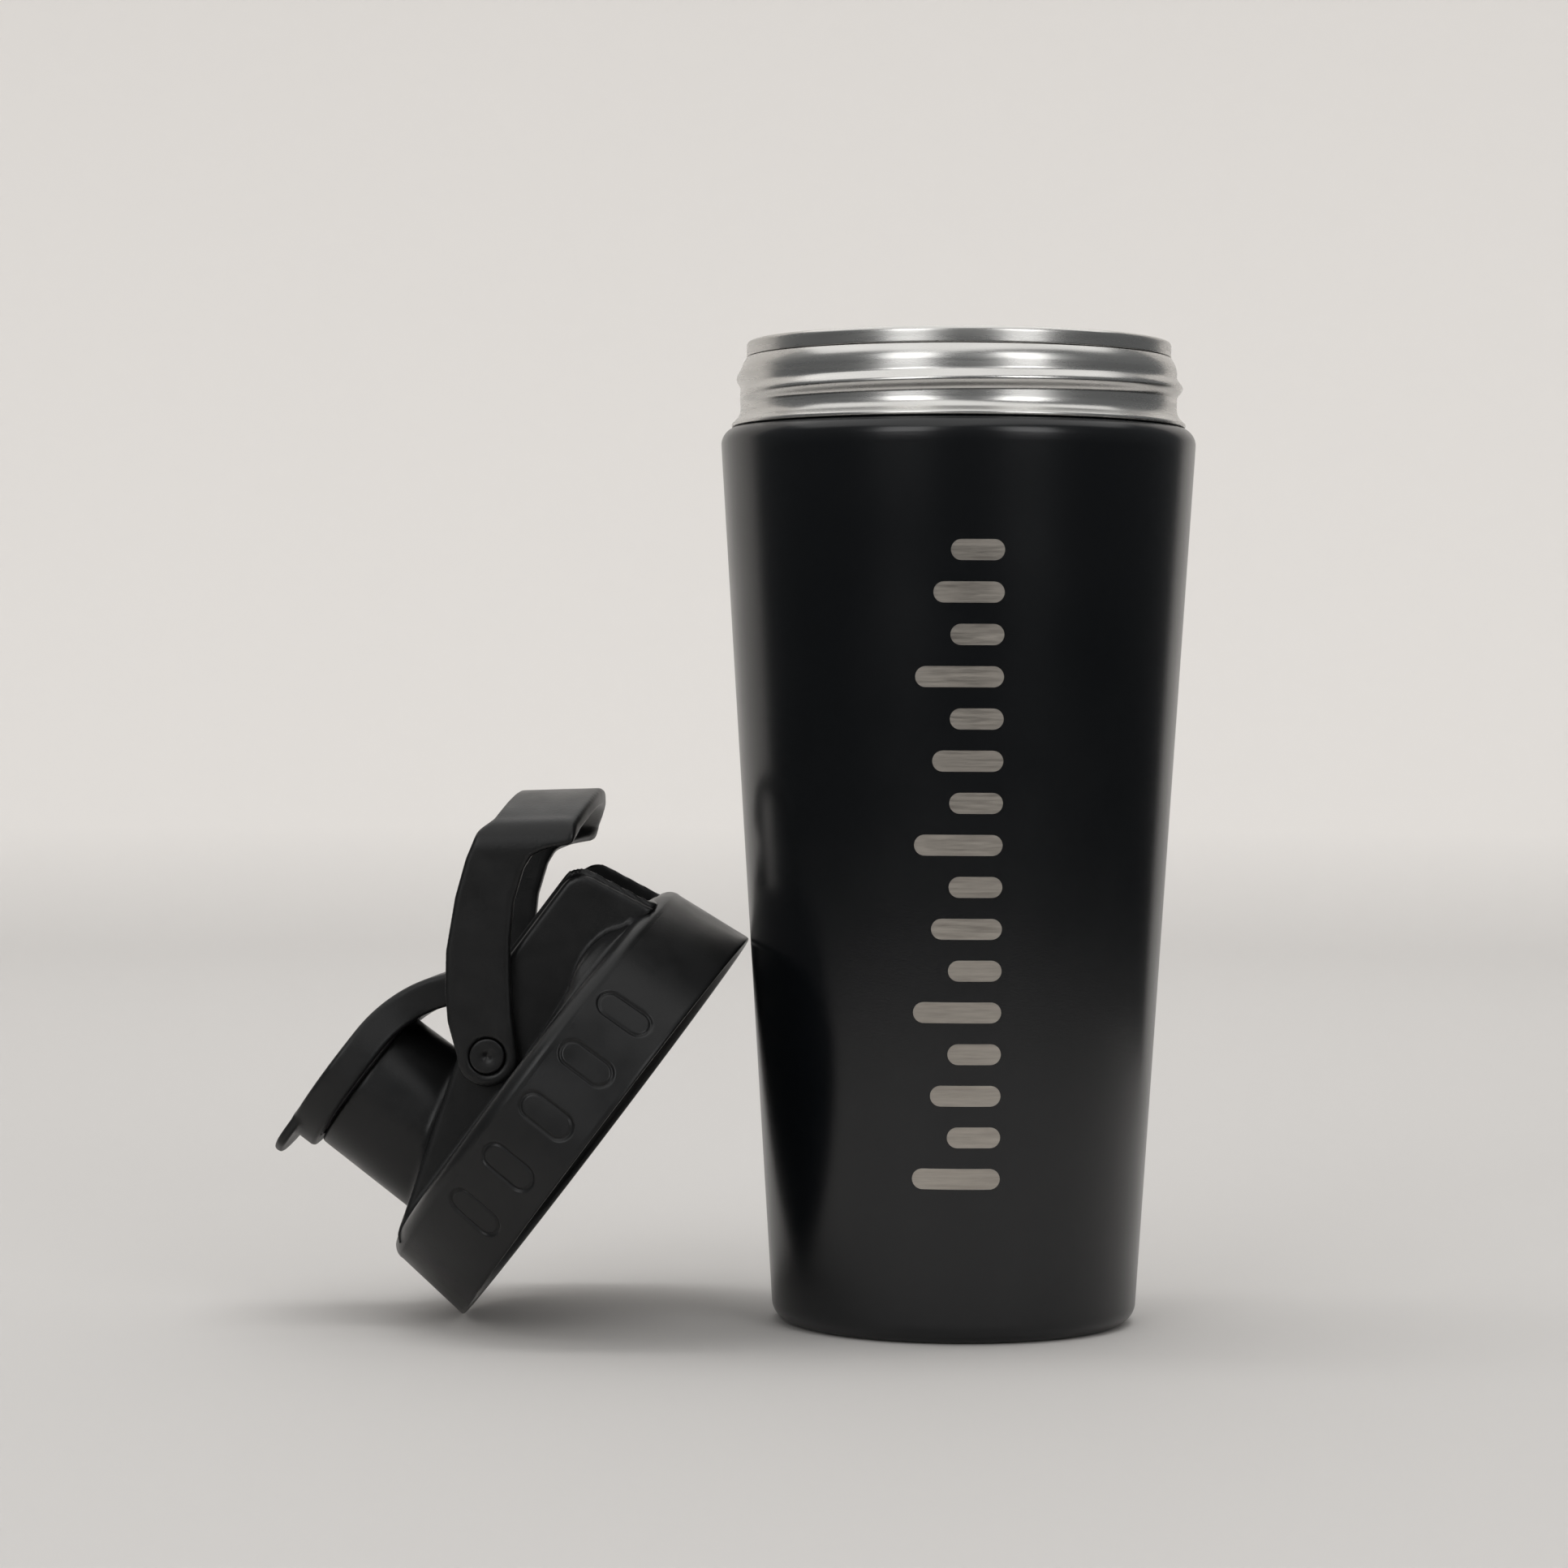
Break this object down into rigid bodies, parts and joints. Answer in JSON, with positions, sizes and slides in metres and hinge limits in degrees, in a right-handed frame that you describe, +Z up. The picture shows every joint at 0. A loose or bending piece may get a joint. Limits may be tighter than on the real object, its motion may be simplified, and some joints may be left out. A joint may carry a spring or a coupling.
{
  "type": "insulated shaker bottle",
  "caption": "Tapered insulated steel shaker bottle standing open, with its screw lid, hinged spout cap and swinging carry handle leaning beside it.",
  "frame": {"origin": "centre of the bottle's foot, on the surface it stands on", "axes": "+Z up along the bottle's axis, -Y the front, the leaning lid towards -X"},
  "size_m": [0.1783, 0.0958, 0.19],
  "materials": {
    "coated_steel": "satin powder coat",
    "brushed_steel": "brushed",
    "liner_steel": "electropolished",
    "plain_steel": "pressed",
    "solder": "dull",
    "silicone": "matte silicone",
    "base_rubber": "matte rubber",
    "lid_plastic": "fine grain",
    "cap_plastic": "fine grain",
    "handle_plastic": "fine grain",
    "grid_plastic": "smooth",
    "pin_steel": "turned",
    "pin_plastic": "smooth satin"
  },
  "bodies": {
    "bottle": {"outer_shell": "coated_steel", "threaded_neck": "brushed_steel", "inner_vessel": "liner_steel", "inner_bottom": "liner_steel", "vacuum_base": "plain_steel", "vacuum_seal": "solder", "getter": "solder", "base_cover": "base_rubber"},
    "lid_seal": {"lid_gasket": "silicone"},
    "lid": {"lid_shell": "lid_plastic", "lid_thread": "lid_plastic", "mixing_grid": "grid_plastic", "cap_hinge_pin": "pin_steel", "handle_pin_front": "pin_plastic", "handle_pin_rear": "pin_plastic"},
    "flip_cap": {"flip_cap": "cap_plastic", "spout_seal": "silicone"},
    "handle": {"carry_handle": "handle_plastic"}
  },
  "joints": [
    {"name": "lid_lift", "type": "slide", "parent": "bottle", "child": "lid_seal", "axis": [-0.7995, 0.0447, 0.599], "range_m": [0, 0.06]},
    {"name": "lid_twist", "type": "hinge", "parent": "lid_seal", "child": "lid", "pos_m": [-0.06779, 0.00379, 0.03698], "axis": [-0.7995, 0.0447, 0.599], "range_deg": [-450, 0]},
    {"name": "cap_flip", "type": "hinge", "parent": "lid", "child": "flip_cap", "pos_m": [-0.08075, 0.00477, 0.06169], "axis": [0.0433, 0.9989, -0.0168], "range_deg": [0, 80]},
    {"name": "handle_swing", "type": "hinge", "parent": "lid", "child": "handle", "pos_m": [-0.08872, 0.00495, 0.05204], "axis": [-0.0433, -0.9989, 0.0168], "range_deg": [-30, 62]}
  ]
}
